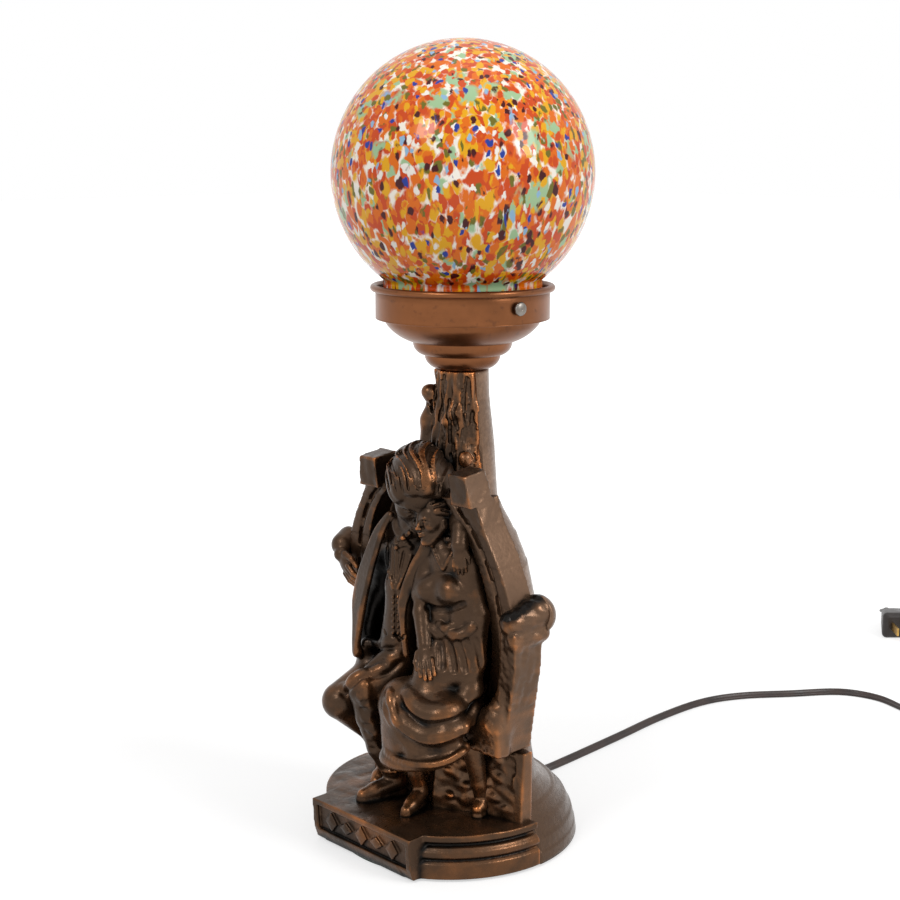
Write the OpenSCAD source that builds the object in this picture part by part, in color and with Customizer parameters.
// Figural table lamp: two seated figures on a bench inside an upright
// horseshoe, a bark trunk carrying a stepped cup and a ball globe.
// Millimetres. Z is up, the table is z = 0, the lamp's axis is X = Y = 0,
// the front (with the plaque) faces -Y.

/* [Base] */
// radius of the round base at the table
plinth_r = 78; // [70:0.5:90]
// height of the base's top face
plinth_h = 27; // [22:0.5:36]
// width of the plaque slab
plaque_w = 86; // [60:1:100]
// thickness of the cast walls
cast_wall = 4; // [3:0.25:5]
// thickness of the felt under the base
felt_t = 1.5; // [1:0.25:3]

/* [Bench and horseshoe] */
// height of the seat above the base
seat_h = 58; // [52:0.5:64]
// how far the right end panel stands from the lamp's axis
bench_right = 77; // [72:0.5:82]
// how far the left end panel stands from the lamp's axis
bench_left = 62; // [58:0.5:70]
// forward lean of the horseshoe in degrees
shoe_lean = 8; // [4:0.5:10]
// thickness of the horseshoe, front to back
shoe_d = 18; // [15:0.5:20]

/* [Trunk and fitter] */
// height of the trunk's top above the base
trunk_h = 257; // [245:1:300]
// radius of the trunk's top
trunk_r = 16; // [14:0.25:19]
// radius over the fitter's rolled rim
fitter_r = 54; // [50:0.5:60]
// height of the fitter
fitter_h = 50; // [46:0.5:60]
// thickness of the fitter's metal
fitter_t = 1.4; // [1:0.1:2]
// radius of a thumbscrew's shank
screw_r = 1.6; // [1.2:0.1:2]

/* [Globe] */
// diameter of the ball globe
globe_d = 152; // [140:1:170]
// thickness of the glass
globe_t = 3; // [2:0.25:4]

/* [Light] */
// radius of the threaded pipe
pipe_r = 5; // [4.6:0.1:5.5]
// diameter of the bulb
bulb_d = 60; // [45:1:64]

/* [Cord] */
// width of the flat cord
cord_w = 5.4; // [4.5:0.1:5.6]
// thickness of the flat cord
cord_t = 2.7; // [2:0.1:2.8]
// whole turns in each layer of the coil
coil_turns = 2; // [1:1:3]

/* [Hidden] */

bronze = [0.26, 0.16, 0.10];
tan_bronze = [0.36, 0.24, 0.15];
copper = [0.42, 0.27, 0.18];
steel = [0.6, 0.6, 0.58];
brass = [0.75, 0.6, 0.3];
dark = [0.12, 0.08, 0.06];

// base
base_y = -10.6;                     // centre of the round base
seam_y = -12;                       // where the front and rear castings meet
stem_y = -3;                        // the same on the trunk
skirt_r = plinth_r - 2.4;           // radius of the base's top face
plaque_y = base_y - plinth_r + 4.4; // plaque's front face, at its top
plate_t = 2;                        // board that closes the base
plate_r = plinth_r - 11;
deck_t = 5;                         // thickness of the base's top
far = 400;                          // past every piece, for cuts that take all on one side
cup_z = plinth_h + trunk_h;         // trunk's top, under the fitter

// bench, measured up from the base's top
rock_drop = 17;                     // rock's top below the seat
arm_rise = 60;                      // end panels, back board and shoe's middle above the seat
back_rise = 64;
shoe_rise = 70;
rock_h = seat_h - rock_drop;
arm_h = seat_h + arm_rise;
roll_r = 11.5;
roll_z = arm_h + 7;
roll_in = 4;                        // rolled arm's middle, in from the end panel's outside
roll_back = 10;                     // how far its rounded end reaches behind the seam
board_h = seat_h + back_rise;
bench_y = -34;

// horseshoe, in its own leaning frame
shoe_y = -30;
shoe_z = plinth_h + seat_h + shoe_rise;
shoe_out = [71, 90, -15];           // half width, half height, centre
shoe_in = [52, 78.7, -10];
shoe_top = 58;
shoe_low = -shoe_rise - 4;          // its arms run down into the seat
web_t = 5;
stem_z = shoe_z + 52.4;             // trunk's foot, above the web

// branch stubs: degrees round, drop below the trunk's top, tilt, radius, reach past it
stubs = [[222, 28, 35, 4.5, 10], [-40, 54, 10, 4, 6], [-62, 18, -20, 3.5, 3]];

// fitter
rim_r = 2;
band_r = fitter_r - 3;
rim_z = cup_z + fitter_h - rim_r;
ledge_z = cup_z + 0.6 * fitter_h;   // where the band steps in
screw_z = (rim_z + ledge_z) / 2 + 0.5;
screw_az = [-7, 103, 198];          // degrees round from +X
run = 0.05;                         // running clearance on turned parts

// the globe's neck stands on the fitter's ledge
neck_r = band_r - fitter_t - 3.2;
neck_z = ledge_z + fitter_t + 0.4;
globe_r = globe_d / 2;
globe_z = rim_z + 4.8 + sqrt(globe_r * globe_r - neck_r * neck_r);

// lamp holder, from above the fitter's nut
holder_z = cup_z + fitter_t + 9;
thread_r = 13.05;

// cord
exit_x = -12;
exit_z = 12;
exit_y = base_y + plinth_r - 4;
bush_r = 5;
lay_z = cord_t / 2 + 0.05;          // height of a cord's middle on the table
coil_x = 134;
coil_y = exit_y + 334.6;
coil_pitch = cord_w + 0.7;
coil_lift = cord_t + 0.7;
coil_z = cord_t / 2 + 1;
layer_turns = coil_turns + 0.375;
coil_in = 5.4 * cord_w - coil_pitch * layer_turns / 2;
coil_out = coil_in + coil_pitch * layer_turns;

// in-line switch and plug
switch_x = coil_x + coil_out;
switch_y = coil_y + 86;
switch_l = 56;
switch_w = 24;
switch_h = 16;
wheel_r = 9;
wheel_x = switch_x + 6;
cord_gap = 0.2;                     // between the cord's lengths, which are solids of their own
plug_at = [-8, exit_y + 462.6, 11];
plug_turn = -43.8;
plug_l = 30;
relief_l = 14;                      // strain relief behind the plug's body
blade_l = 17;

function unit(v) = v / norm(v);
function tangent(path, i) = unit(path[min(i + 1, len(path) - 1)] - path[max(i - 1, 0)]);
function bend(a, b, c, d, t) = 0.5 * (2 * b + (c - a) * t + (2 * a - 5 * b + 4 * c - d) * t * t
  + (3 * b - a - 3 * c + d) * t * t * t);
function smooth(p, n) = [for (i = [0:len(p) - 2]) for (k = [0:n - 1])
  bend(p[max(i - 1, 0)], p[i], p[i + 1], p[min(i + 2, len(p) - 1)], k / n), p[len(p) - 1]];
function oval(e, n) = [for (i = [0:n - 1]) [e[0] * cos(360 * i / n), e[2] + e[1] * sin(360 * i / n)]];
function path_len(p) = len(p) < 2 ? 0 : [for (i = 1, s = norm(p[1] - p[0]); i < len(p);
  i = i + 1, s = i < len(p) ? s + norm(p[i] - p[i - 1]) : s) s][len(p) - 2];

// solid through half-oval sections, each [z, half width, depth, front y]
module loft(sections, n) {
  m = n + 1;
  k = len(sections);
  points = [for (s = sections) for (i = [0:n])
    [s[1] * cos(180 * i / n), s[3] + s[2] * sin(180 * i / n), s[0]]];
  sides = [for (i = [0:k - 2]) for (j = [0:m - 1])
    let (p = i * m + j, q = i * m + (j + 1) % m) each [[p, p + m, q + m], [p, q + m, q]]];
  ends = [[for (j = [0:m - 1]) j], [for (j = [m - 1:-1:0]) (k - 1) * m + j]];
  polyhedron(points, concat(sides, ends));
}

// flat cord along a path; its width lies level, or along `flat` where given
module cord_sweep(path, flat, sides) {
  n = len(path);
  points = [for (i = [0:n - 1])
    let (d = tangent(path, i),
      s = unit(norm(flat) == 0 ? cross([0, 0, 1], d) : flat - (flat * d) * d), u = cross(d, s))
    for (j = [0:sides - 1]) let (a = 360 * j / sides)
      path[i] + s * (cord_w / 2 * cos(a)) + u * (cord_t / 2 * sin(a) / (sides % 4 == 0 ? 1 : sin(60)))];
  tube = [for (i = [0:n - 2]) for (j = [0:sides - 1])
    let (p = i * sides + j, q = i * sides + (j + 1) % sides)
      each [[p, p + sides, q + sides], [p, q + sides, q]]];
  ends = [[for (j = [0:sides - 1]) j], [for (j = [sides - 1:-1:0]) (n - 1) * sides + j]];
  polyhedron(points, concat(tube, ends));
}

// extrusion along Y of a shape drawn in X and Z
module along_y(y0, y1) translate([0, y1, 0]) rotate([90, 0, 0]) linear_extrude(y1 - y0) children();
module front_of(y) translate([-far / 2, y - far, -far / 2]) cube([far, far, 2 * far]);
module behind(y, z, h) translate([-far / 2, y, z]) cube([far, far / 4, h]);
module ring(r_in, r_out, z, h, n = 64) translate([0, 0, z]) difference() {
  cylinder(r = r_out, h = h, $fn = n);
  translate([0, 0, -1]) cylinder(r = r_in, h = h + 2, $fn = n);
}
module hex_nut(r_in, across, z, h) translate([0, 0, z]) difference() {
  cylinder(r = across / 2 / cos(30), h = h, $fn = 6);
  translate([0, 0, -1]) cylinder(r = r_in, h = h + 2, $fn = 48);
}

// base
module plinth_solid() {
  top = plinth_h;
  translate([0, base_y, 0]) rotate_extrude($fn = 120) {
    polygon([[0, felt_t], [plinth_r, felt_t], [plinth_r, 0.38 * top], [plinth_r - 1.4, 0.43 * top],
      [plinth_r - 2.6, 0.46 * top], [plinth_r - 2.6, 0.72 * top], [plinth_r - 5, 0.76 * top],
      [plinth_r - 5, 0.8 * top], [skirt_r, 0.87 * top], [skirt_r, top], [0, top]]);
    translate([plinth_r - 3.6, 0.59 * top]) circle(r = 0.12 * top, $fn = 32);
  }
}
module plaque_slab(w, d) {
  h = plinth_h - felt_t;
  translate([-w / 2, 0, 0]) rotate([90, 0, 90]) linear_extrude(w)
    polygon([[plaque_y, plinth_h], [plaque_y + 1.2, felt_t + 0.3 * h], [plaque_y + 3.8, felt_t],
      [plaque_y + d, felt_t], [plaque_y + d, plinth_h]]);
}
module plaque_face(inset, depth) {
  h = plinth_h - felt_t;
  translate([0, plaque_y, plinth_h]) rotate([4, 0, 0])
    translate([-plaque_w / 2 + inset, -1, -h * 0.72])
      cube([plaque_w - 2 * inset, 1 + depth, h * 0.72 - inset]);
}
module lozenge(x, w, h) translate([x, plaque_y + 3, plinth_h - 0.42 * (plinth_h - felt_t)])
  rotate([94, 0, 0]) linear_extrude(2.5) polygon([[-w / 2, 0], [0, -h / 2], [w / 2, 0], [0, h / 2]]);

module plinth() {
  color(bronze) {
    difference() {
      union() {
        intersection() {
          plinth_solid();
          front_of(seam_y);
          plaque_slab(2 * plinth_r + 10, 2 * plinth_r);
        }
        plaque_slab(plaque_w, 26);
        translate([-18, seam_y - 20, plinth_h - deck_t]) cube([36, 34, deck_t]);
      }
      translate([0, base_y, felt_t - 1]) cylinder(r = plate_r + 0.2, h = plate_t + 1, $fn = 120);
      translate([0, base_y, felt_t]) cylinder(r = plate_r - 3, h = plinth_h - felt_t - deck_t, $fn = 120);
      plaque_face(4, 1.2);
      translate([0, 0, plinth_h - deck_t - 1]) cylinder(r = pipe_r + 0.2, h = deck_t + 2, $fn = 48);
    }
    for (i = [-2:2]) lozenge(i * plaque_w / 6.4, plaque_w / 9, i % 2 == 0 ? 10 : 6);
  }
}

// bench
module bench_end(x, s, y0) along_y(y0, seam_y) {
  polygon([[x - s * 6, rock_h + 4], [x, rock_h + 38], [x, arm_h], [x - s * 12, arm_h],
    [x - s * 13, rock_h + 4]]);
  translate([x - s * roll_in, roll_z]) circle(r = roll_r, $fn = 48);
}
module bench_ends() {
  bench_end(bench_right, 1, bench_y);
  bench_end(-bench_left, -1, bench_y + 8);
}
module rock() linear_extrude(rock_h + 1) polygon([[-bench_left + 14, seam_y], [-bench_left + 14, bench_y + 6],
  [0, bench_y + 2], [18, bench_y - 5], [36, bench_y + 8], [50, bench_y + 15],
  [bench_right - 13, seam_y - 2], [bench_right - 13, seam_y]]);
module rock_room() translate([0, 0, -1]) linear_extrude(rock_h + 1) polygon([[-bench_left + 18, seam_y + 1],
  [-bench_left + 18, bench_y + 10], [0, bench_y + 6], [18, bench_y], [33, bench_y + 12],
  [42, bench_y + 17], [44, seam_y + 1]]);
module bench_mass() {
  along_y(bench_y, seam_y)
    polygon([[-bench_left + 9, rock_h], [bench_right - 9, rock_h],
      [bench_right - 9, seat_h], [-bench_left + 9, seat_h]]);
  rock();
  along_y(seam_y - 5, seam_y)
    polygon([[-bench_left + 8, seat_h - 1], [bench_right - 8, seat_h - 1],
      [bench_right - 8, board_h], [-bench_left + 8, board_h]]);
  bench_ends();
}
module bench() color(bronze) translate([0, 0, plinth_h]) difference() {
  bench_mass();
  rock_room();
  along_y(bench_y + 3 + cast_wall, seam_y + 1)
    polygon([[-bench_left + 18, rock_h - 1], [bench_right - 21, rock_h - 1],
      [bench_right - 21, seat_h - cast_wall - 1], [-bench_left + 18, seat_h - cast_wall - 1]]);
}

// horseshoe
module shoe_frame() translate([0, shoe_y, shoe_z]) rotate([shoe_lean, 0, 0]) children();
module shoe_band(low, high) intersection() {
  children();
  translate([-100, low]) square([200, high - low]);
}
module shoe_solid() {
  shoe_frame() {
    along_y(0, shoe_d) shoe_band(shoe_low, shoe_top) difference() {
      polygon(oval(shoe_out, 72));
      polygon(oval(shoe_in, 72));
    }
    along_y(shoe_d - web_t, shoe_d) shoe_band(-3, 50) polygon(oval(shoe_in, 72));
    for (s = [-1, 1]) translate([s * 36.5 - 6.5, -4, shoe_top - 3]) cube([13, 17, 20]);
  }
}
module shoe_slots() shoe_frame() for (s = [-1, 1]) for (a = [24, 38, 51]) {
  x = (shoe_out[0] - 9) * cos(a);
  z = shoe_out[2] + 3 + (shoe_out[1] - 6) * sin(a);
  translate([s * x, 0, z]) rotate([0, s * (a - 90) * 0.8, 0]) translate([-1.3, -1, -6]) cube([2.6, 3.4, 12]);
}
module horseshoe() color(bronze) difference() {
  shoe_solid();
  shoe_slots();
  translate([0, 0, plinth_h]) bench_mass();
  translate([-far, -far / 2, plinth_h]) cube([far, far, board_h]);
  behind(seam_y, plinth_h, board_h + 12);
}

// figures: lists of limbs, each [from, radius, to, radius], up from the base's top
function lift(p) = [p[0], p[1], p[2] + plinth_h + (p[2] > 40 ? seat_h - 58 : 0)];
module limb(l, n = 14) hull() {
  translate(lift(l[0])) sphere(l[1], $fn = n);
  translate(lift(l[2])) sphere(l[3], $fn = n);
}
man_body = [
  [[-24, -28, 70], 18, [-16, -31, 98], 14.5], [[-16, -31, 98], 14.5, [-11, -31, 128], 15],
  [[-36, -28, 142], 10.5, [6, -27, 150], 10], [[-11, -30, 132], 14, [-9, -31, 158], 9],
  [[-9, -31, 158], 9, [-7, -34, 172], 11], [[-7, -37, 177], 14, [-4, -29, 195], 18]];
man_coat = [
  [[-21, -41, 158], 4, [-30, -47, 125], 5], [[-30, -47, 125], 5, [-40, -46, 84], 6],
  [[8, -40, 157], 4, [-1, -46, 128], 5], [[-1, -46, 128], 5, [1, -46, 90], 6],
  [[-44, -34, 106], 9, [-46, -38, 82], 8]];
man_legs = [
  [[-36, -32, 68], 15, [-43, -61, 56], 11], [[-43, -61, 54], 10, [-36, -38, 34], 7.5],
  [[-36, -38, 34], 7.5, [-31, -36, 14], 6], [[-31, -35, 9], 6, [-28, -44, 5], 5],
  [[-13, -34, 70], 14, [-20, -61, 70], 10.5], [[-20, -60, 68], 9.5, [-19, -52, 31], 6.5],
  [[-19, -52, 31], 6.5, [-15, -46, 14], 6], [[-15, -42, 8], 6.5, [-17.5, -61, 5], 5]];
man_arms = [
  [[6, -27, 150], 9.5, [22, -25, 170], 8], [[22, -25, 170], 8, [32, -31, 176], 7],
  [[32, -31, 176], 7, [39, -40, 165], 5.5], [[39, -40, 165], 5.5, [42, -43, 148], 4.5],
  [[-36, -28, 142], 10.5, [-45, -29, 116], 9]];
man_sleeve = [
  [[-62, -6, 139], 7, [-72, -15, 145], 7], [[-72, -15, 145], 7, [-75, -27, 144], 6.5],
  [[-75, -27, 144], 6.5, [-70, -36, 139], 5.5], [[-70, -36, 139], 5.5, [-53, -40, 120], 4.5]];
woman_body = [
  [[25, -30, 68], 18, [21, -33, 108], 12], [[21, -33, 108], 12, [22, -35, 136], 13.5],
  [[16, -42, 133], 8, [33, -40, 138], 8], [[8, -35, 150], 7.5, [36, -31, 152], 8],
  [[20, -35, 138], 11, [16, -35, 158], 6.5], [[16, -35, 158], 6.5, [13, -37, 168], 8.5],
  [[11, -39, 169], 10, [14, -34, 176], 12], [[23, -29, 176], 9, [24, -28, 164], 7.5]];
woman_skirt = [
  [[17, -34, 66], 16, [12, -59, 70], 12.5], [[38, -34, 66], 16, [40, -54, 67], 13],
  [[12, -59, 70], 12.5, [40, -54, 67], 12.5], [[10, -59, 62], 12.5, [9, -58, 41], 10],
  [[40, -54, 60], 13, [43, -50, 52], 10], [[24, -60, 62], 12, [24, -60, 42], 10],
  [[9, -58, 41], 9, [24, -60, 42], 9], [[24, -60, 42], 9, [43, -50, 50], 9],
  [[13, -50, 44], 8, [11, -46, 20], 6], [[44, -34, 46], 8, [42, -27, 20], 6],
  [[11, -45, 9], 6.5, [17, -59, 5], 5], [[40, -22, 12], 6.5, [44, -29, 9], 5]];
woman_arms = [
  [[9, -35, 150], 7.5, [9, -42, 119], 7], [[9, -42, 119], 6.5, [20, -52, 102], 5.5],
  [[20, -52, 102], 5.5, [34, -59, 84], 4.5], [[36, -31, 151], 8, [46, -34, 123], 7.5],
  [[46, -34, 123], 7.5, [44, -44, 96], 6]];

module limbs(list) for (l = list) limb(l);
module seat_space() {
  translate([0, 0, plinth_h]) bench_mass();
  shoe_solid();
  trunk_solid();
  translate([-far / 2, -far / 2, plinth_h - far]) cube(far);
  behind(seam_y, 0, shoe_z - 10);
  shoe_frame() behind(shoe_d, -shoe_out[1], shoe_out[1] + stem_z - shoe_z);
  behind(stem_y, 0, far);
}
module woman_mass() {
  limbs(woman_body);
  limbs(woman_skirt);
  limbs(woman_arms);
}
module woman_figure() color(bronze) difference() {
  woman_mass();
  seat_space();
}
module man_figure() color(bronze) difference() {
  union() {
    limbs(man_body);
    limbs(man_coat);
    limbs(man_legs);
    limbs(man_arms);
  }
  seat_space();
  woman_mass();
}
module man_right_arm() color(bronze) difference() {
  limbs(man_sleeve);
  translate([0, 0, plinth_h]) bench_mass();
  shoe_solid();
  rear_mass();
}

// trunk and rear shell
module trunk_solid() {
  h = cup_z - stem_z;
  rotate_extrude($fn = 64)
    polygon([[0, stem_z], [trunk_r + 5.5, stem_z], [trunk_r + 3.5, stem_z + 0.43 * h],
      [trunk_r + 0.5, stem_z + 0.78 * h], [trunk_r, cup_z], [0, cup_z]]);
}
module stub(az, z, tilt, r, reach) translate([0, 0, z]) rotate([0, 0, az]) rotate([0, 90 - tilt, 0])
  translate([0, 0, trunk_r - 8]) cylinder(r1 = r + 1.5, r2 = r, h = reach - trunk_r + 8, $fn = 24);
module tree_trunk() color(bronze) difference() {
  union() {
    intersection() {
      trunk_solid();
      front_of(stem_y);
    }
    intersection() {
      union() {
        for (b = stubs) stub(b[0], cup_z - b[1], b[2], b[3], trunk_r + b[4]);
      }
      front_of(stem_y);
    }
  }
  translate([0, 0, stem_z - 5]) cylinder(r = pipe_r + 0.2, h = 200, $fn = 48);
}

// sections of the rear shell, drawn in by `d` and carried `f` forward
function lean_y(z) = shoe_y + shoe_d / cos(shoe_lean) - (z - shoe_z) * tan(shoe_lean);
function shell_low() = [
  [felt_t, plinth_r, 0], [0.3 * plinth_h, plinth_r - 1, 0], [0.6 * plinth_h, plinth_r - 3.2, 0],
  [0.9 * plinth_h, plinth_r - 7.6, 0], [plinth_h + 6, plinth_r - 12, 6], [plinth_h + 18, plinth_r - 14, 26],
  [plinth_h + rock_h, plinth_r - 16, 31], [plinth_h + seat_h + 25, plinth_r - 17, 26],
  [plinth_h + board_h, plinth_r - 16, 25]];
function shell_high() = [
  [shoe_z + 2, shoe_out[0] - 10, 38], [shoe_z + 20, shoe_out[0] - 15, 40],
  [shoe_z + 35, shoe_out[0] - 25, 41], [shoe_z + 50, shoe_out[0] - 41, 40]];
function shell_stem() = let (h = cup_z - stem_z) [
  [stem_z, trunk_r + 5.5], [stem_z + 0.43 * h, trunk_r + 3.5], [stem_z + 0.78 * h, trunk_r + 0.5],
  [cup_z, trunk_r]];
function shell_sections(d, f) = concat(
  [for (s = shell_low()) [s[0], s[1] - d, s[1] + base_y - seam_y - s[2] - d + f, seam_y - f]],
  [for (s = shell_high()) [s[0], s[1] - d, s[2] - d + f, min(lean_y(s[0]) + 0.1, seam_y) - f]],
  [for (s = shell_stem()) [s[0], s[1] - d, s[1] - stem_y - d + f, stem_y - f]]);
function cut_top(list, z) = [for (s = list) if (s[0] < z) s,
  let (s = list[len(list) - 1]) [z, s[1], s[2], s[3]]];
function cut_low(list, z) = concat([[z, list[5][1], list[5][2], list[5][3]]],
  [for (s = list) if (s[0] > z + 1) s]);

// rounded end of a rolled arm, behind the seam
module roll_end(x) difference() {
  translate([x, seam_y, plinth_h + roll_z]) scale([1, roll_back / roll_r, 1]) sphere(roll_r, $fn = 32);
  front_of(seam_y);
}
module rear_mass() {
  loft(shell_sections(0, 0), 24);
  roll_end(bench_right - roll_in);
  roll_end(-bench_left + roll_in);
}
module rear_shell() color(tan_bronze) difference() {
  rear_mass();
  translate([0, 0, plinth_h]) bench_ends();
  loft(cut_top(cut_low(shell_sections(cast_wall, 2), plinth_h + deck_t), cup_z - 7), 24);
  loft([[felt_t + plate_t - 0.5, plate_r - 3, plate_r - 2, seam_y - 2],
    [0.7 * plinth_h, plate_r - 3, plate_r - 2, seam_y - 2],
    [plinth_h, plate_r - 7, plate_r - 6, seam_y - 2]], 24);
  translate([0, base_y, felt_t - 1]) cylinder(r = plate_r + 0.2, h = plate_t + 1, $fn = 120);
  translate([0, 0, plinth_h - 5]) cylinder(r = pipe_r + 0.2, h = trunk_h + 20, $fn = 48);
  translate([exit_x, exit_y - 20, exit_z]) rotate([-90, 0, 0]) cylinder(r = bush_r, h = 60, $fn = 48);
  translate([exit_x, exit_y, exit_z]) rotate([-90, 0, 0]) cylinder(r = bush_r + 2.4, h = 30, $fn = 48);
}

// rod, plate and felt
pipe_z = plinth_h - deck_t - 7.2;
module lamp_pipe() color(steel) ring(pipe_r - 1.5, pipe_r, pipe_z, holder_z + 7 - pipe_z, 48);
module base_washer() color(steel) ring(pipe_r + 0.2, 11, plinth_h - deck_t - 1.2, 1.2, 48);
module base_nut() color(steel) hex_nut(pipe_r, 16, plinth_h - deck_t - 5.6, 4.4);
module base_plate() color([0.45, 0.35, 0.25]) translate([0, base_y, felt_t])
  cylinder(r = plate_r, h = plate_t, $fn = 120);
module felt_pad() color([0.12, 0.2, 0.14]) translate([0, base_y, 0])
  cylinder(r = plate_r + 2, h = felt_t, $fn = 120);
module cord_bushing() color(dark) translate([exit_x, exit_y, exit_z]) rotate([-90, 0, 0]) difference() {
  union() {
    translate([0, 0, -9]) cylinder(r = bush_r - 0.1, h = 10, $fn = 48);
    cylinder(r = bush_r + 2, h = 2, $fn = 48);
  }
  translate([0, 0, -10]) cylinder(r = 3.5, h = 20, $fn = 48);
}

// fitter
function cup_profile() = let (k = fitter_h / 50, w = band_r / 51)
  [for (p = [[14, 0], [18, 1.6], [20.6, 3.8], [22, 6.4], [22.4, 8.6], [24.6, 9.2], [26.8, 10.6], [28.6, 13],
    [29.4, 16.6], [32, 17.2], [36.6, 19.4], [41, 22.6], [44.4, 26.2], [46, 30], [51, 30]])
    [p[0] * w, cup_z + p[1] * k]];
module fitter() color(copper) difference() {
  o = cup_profile();
  rotate_extrude($fn = 120) {
    polygon(concat([[pipe_r + 0.2, cup_z]], o, [[band_r, rim_z], [band_r - fitter_t, rim_z]],
      [for (i = [len(o) - 1:-1:0]) [o[i][0] - fitter_t, o[i][1] + fitter_t]],
      [[pipe_r + 0.2, cup_z + fitter_t]]));
    translate([fitter_r - rim_r, rim_z]) circle(r = rim_r, $fn = 32);
  }
  for (a = screw_az) rotate([0, 0, a]) translate([neck_r + 1, 0, screw_z]) rotate([0, 90, 0])
    cylinder(r = screw_r + run, h = 20, $fn = 32);
}
module fitter_nut() color(steel) hex_nut(pipe_r, 17, cup_z + fitter_t, 4.6);
module thumbscrew(a) color(steel) rotate([0, 0, a]) translate([0, 0, screw_z]) rotate([0, 90, 0]) {
  translate([0, 0, neck_r + 1]) cylinder(r = screw_r, h = band_r - neck_r + 0.4, $fn = 32);
  translate([0, 0, band_r + 1.2]) rotate_extrude($fn = 48)
    polygon([[0, 0], [3.4, 0], [4, 0.6], [4, 1.4], [3.4, 2.1], [2, 2.5], [0, 2.7]]);
}
module thumbscrew_1() thumbscrew(screw_az[0]);
module thumbscrew_2() thumbscrew(screw_az[1]);
module thumbscrew_3() thumbscrew(screw_az[2]);

// lamp holder and bulb
bulb_z = holder_z + 33;
cap_h = 22;
module socket_cap() color(brass) translate([0, 0, holder_z]) rotate_extrude($fn = 64)
  polygon([[pipe_r, 0], [8, 0], [8, 5], [17.8, 11], [17.8, 20], [16.8, 20], [16.8, 11.8], [7, 7],
    [pipe_r, 7]]);
module socket_shell() color(brass) ring(15.9, 16.7, holder_z + 11.9, 40, 64);
module socket_body() color([0.85, 0.82, 0.74]) translate([0, 0, holder_z + 14])
  cylinder(r = 15.8, h = 14, $fn = 64);
module screw_shell() color(brass) ring(thread_r, thread_r + 0.6, holder_z + 28, 21, 64);
module centre_contact() color(brass) translate([0, 0, holder_z + 28]) cylinder(r = 4, h = 2, $fn = 32);
module bulb_tip() color(steel) translate([0, 0, bulb_z - 2.6])
  cylinder(r1 = 3.5, r2 = 5, h = 2.6, $fn = 32);
module bulb_base() color(steel) translate([0, 0, bulb_z]) rotate_extrude($fn = 64)
  polygon([[0, 0], [6, 0], [11, 2.6], [thread_r - run, 3.4], [thread_r - run, cap_h], [0, cap_h]]);
module bulb_glass() color([0.95, 0.95, 0.92]) translate([0, 0, bulb_z + cap_h]) rotate_extrude($fn = 72) {
  r = bulb_d / 2;
  c = r * 1.67;
  t = 0.9;
  polygon(concat([[11, 0], [thread_r - 0.4, 0], [thread_r, 4], [thread_r + 0.1 * r, 0.45 * r]],
    [for (a = [-40:10:80]) [r * cos(a), c + r * sin(a)]], [[0, c + r], [0, c + r - t]],
    [for (a = [80:-10:-40]) [(r - t) * cos(a), c + (r - t) * sin(a)]],
    [[thread_r + 0.1 * r - t, 0.45 * r], [thread_r - t, 4], [11, 2]]));
}

// globe
module globe() color([0.9, 0.85, 0.75]) rotate_extrude($fn = 120) intersection() {
  difference() {
    union() {
      translate([0, globe_z]) circle(r = globe_r, $fn = 160);
      translate([0, neck_z]) square([neck_r, globe_z - neck_z]);
    }
    translate([0, globe_z]) circle(r = globe_r - globe_t, $fn = 160);
    translate([-1, neck_z - 1]) square([neck_r - globe_t + 1, globe_z - neck_z]);
  }
  translate([0, 0]) square([globe_r + 10, globe_z + globe_r + 10]);
}

// cord, from the holder to the plug
inner_path = smooth([[0, 0, holder_z + 12], [0, 0, holder_z - 60], [0, 0, plinth_h + 40], [0, 0, pipe_z + 3],
  [-0.2, 2.6, exit_z - 2.6], [-2, 14, exit_z - 5], [exit_x + 4, exit_y - 26, exit_z - 2],
  [exit_x, exit_y - 11, exit_z], [exit_x, exit_y + 2, exit_z]], 5);
lead_path = smooth([[exit_x, exit_y + 2, exit_z], [exit_x - 1, exit_y + 12, exit_z - 2.5],
  [exit_x - 3, exit_y + 27, lay_z + 3], [exit_x - 5.5, exit_y + 42, lay_z], [-22, exit_y + 112, lay_z],
  [-26, exit_y + 162, lay_z], [-24.5, exit_y + 210, lay_z], [-12.7, exit_y + 243, lay_z],
  [11, exit_y + 275, lay_z], [34, exit_y + 305, lay_z], [60, exit_y + 315, lay_z],
  [84, exit_y + 310, lay_z], [110, coil_y - coil_out + 1.6, lay_z + 0.5],
  [coil_x - cord_gap, coil_y - coil_out, coil_z]], 5);
function coil_r(s) = s < layer_turns ? coil_out - coil_pitch * s
  : s < layer_turns + 0.5 ? coil_in - 1.3 * coil_pitch * pow(sin(360 * (s - layer_turns)), 2)
  : coil_in + coil_pitch * (s - layer_turns - 0.5);
function coil_h(s) = let (u = min(1, max(0, 2 * (s - layer_turns)))) coil_lift * u * u * (3 - 2 * u);
coil_path = [for (i = [0:24 * (2 * layer_turns + 0.5)]) let (s = i / 24, a = 360 * s - 90)
  [coil_x + coil_r(s) * cos(a), coil_y + coil_r(s) * sin(a), coil_z + coil_h(s)]];
tail_path = smooth([[switch_x, coil_y + cord_gap, coil_z + coil_lift],
  [switch_x + 0.2, coil_y + 15, coil_z + coil_lift - 0.8],
  [switch_x, coil_y + 32, lay_z + 0.6], [switch_x, coil_y + 44, lay_z + 2.5],
  [switch_x, switch_y - switch_l / 2, switch_h / 2 - 1]], 4);
plug_dir = [cos(plug_turn), sin(plug_turn), 0];
plug_back = plug_at - plug_dir * (plug_l + relief_l);
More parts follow.
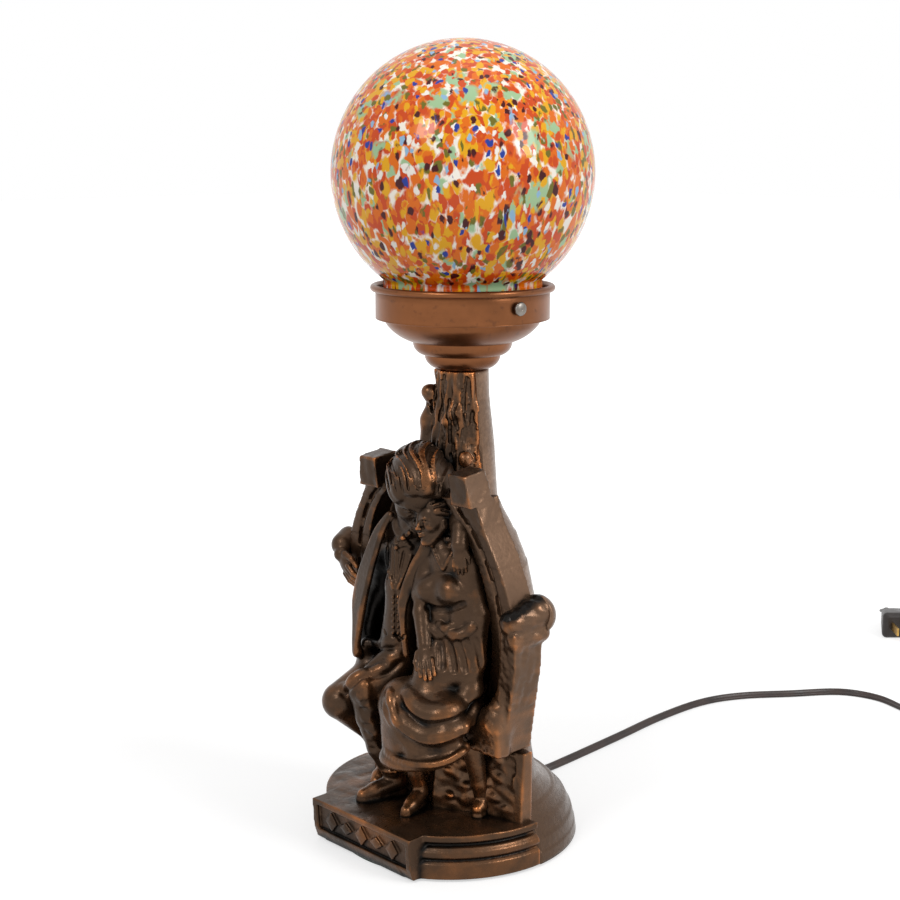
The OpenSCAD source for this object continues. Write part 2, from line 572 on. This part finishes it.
plug_path = smooth([[switch_x, switch_y + switch_l / 2, switch_h / 2 - 1],
  [switch_x, switch_y + switch_l / 2 + 12, switch_h / 2 - 2.6],
  [switch_x - 3, switch_y + switch_l / 2 + 30, lay_z], [148, exit_y + 512, lay_z],
  [110, exit_y + 536, lay_z], [62, exit_y + 547, lay_z], [14, exit_y + 545, lay_z],
  [plug_back[0] + 14, plug_back[1] + 48, lay_z], [plug_back[0] - 9, plug_back[1] + 37, lay_z + 1],
  plug_back - plug_dir * 14 + [-1, 4, -4.5], plug_back], 5);
coil_gap = min([for (i = [0:len(coil_path) - 10]) for (j = [i + 9:len(coil_path) - 1])
  let (d = coil_path[i] - coil_path[j]) max(norm([d[0], d[1]]) - cord_w, abs(d[2]) - cord_t)]);
echo(coil_gap = coil_gap, cord_m = (path_len(lead_path) + path_len(coil_path) + path_len(tail_path)
  + switch_l + path_len(plug_path)) / 1000);

module inner_lead() color(dark) cord_sweep(inner_path, [1, 0, 0], 8);
module cord_lead() color(dark) cord_sweep(lead_path, [0, 0, 0], 8);
module cord_coil() color(dark) cord_sweep(coil_path, [0, 0, 0], 6);
module cord_tail() color(dark) cord_sweep(tail_path, [0, 0, 0], 8);
module plug_lead() color(dark) cord_sweep(plug_path, [0, 0, 0], 8);
module cord_tie() color(dark) translate([coil_x, coil_y, 0]) rotate([0, 0, -45]) {
  inside = [coil_out - coil_in + cord_w + 3, 7, cord_t + coil_lift + 0.7];
  translate([coil_in - cord_w / 2 - 1.5, 0, 0.7]) difference() {
    translate([-0.6, -2.5, -0.6]) cube([inside[0] + 1.2, 5, inside[2] + 1.2]);
    translate([0, -5, 0]) cube([inside[0], 10, inside[2]]);
  }
}

// in-line switch
module switch_half(z, h) translate([switch_x, switch_y, z]) linear_extrude(h) {
  for (s = [-1, 1]) translate([0, s * (switch_l - switch_w) / 2]) circle(d = switch_w, $fn = 48);
  square([switch_w, switch_l - switch_w], center = true);
}
module wheel_space() translate([wheel_x, switch_y, switch_h / 2 - 2.7])
  cylinder(r = wheel_r + 0.6, h = 5.4, $fn = 48);
module switch_base() color(dark) {
  difference() {
    switch_half(0, switch_h / 2);
    wheel_space();
  }
  translate([wheel_x, switch_y, switch_h / 2 - 3]) cylinder(r = 1.6, h = 5.5, $fn = 32);
}
module switch_cover() color(dark) difference() {
  switch_half(switch_h / 2, switch_h / 2);
  wheel_space();
}
module switch_wheel() color([0.85, 0.8, 0.68])
  translate([wheel_x, switch_y, switch_h / 2 - 2.3]) difference() {
  cylinder(r = wheel_r, h = 4.6, $fn = 48);
  translate([0, 0, -1]) cylinder(r = 1.6 + run, h = 7, $fn = 32);
  for (i = [0:17]) rotate([0, 0, 20 * i]) translate([wheel_r + 0.3, 0, -1])
    cylinder(r = 0.8, h = 7, $fn = 16);
}

// plug
module plug_frame() translate(plug_at) rotate([0, 0, plug_turn]) children();
module plug_body() color(dark) plug_frame() {
  hull() {
    for (y = [-10, 10]) for (z = [-7, 7]) translate([-4, y, z]) sphere(4, $fn = 16);
    for (y = [-5, 5]) for (z = [-4, 4]) translate([4 - plug_l, y, z]) sphere(4, $fn = 16);
  }
  translate([-plug_l - relief_l, 0, 0]) rotate([0, 90, 0])
    cylinder(r1 = 3.6, r2 = 5.5, h = relief_l + 2, $fn = 32);
}
module plug_blades() color(brass) plug_frame() for (s = [-1, 1])
  translate([0.1, s * 6.35 - 0.8, -3.2]) cube([blade_l, 1.6, 6.4]);

plinth();
bench();
horseshoe();
man_figure();
man_right_arm();
woman_figure();
tree_trunk();
rear_shell();
lamp_pipe();
base_washer();
base_nut();
base_plate();
felt_pad();
cord_bushing();
fitter();
fitter_nut();
thumbscrew_1();
thumbscrew_2();
thumbscrew_3();
socket_cap();
socket_shell();
socket_body();
screw_shell();
centre_contact();
bulb_glass();
bulb_base();
bulb_tip();
globe();
inner_lead();
cord_lead();
cord_coil();
cord_tie();
cord_tail();
switch_base();
switch_cover();
switch_wheel();
plug_lead();
plug_body();
plug_blades();
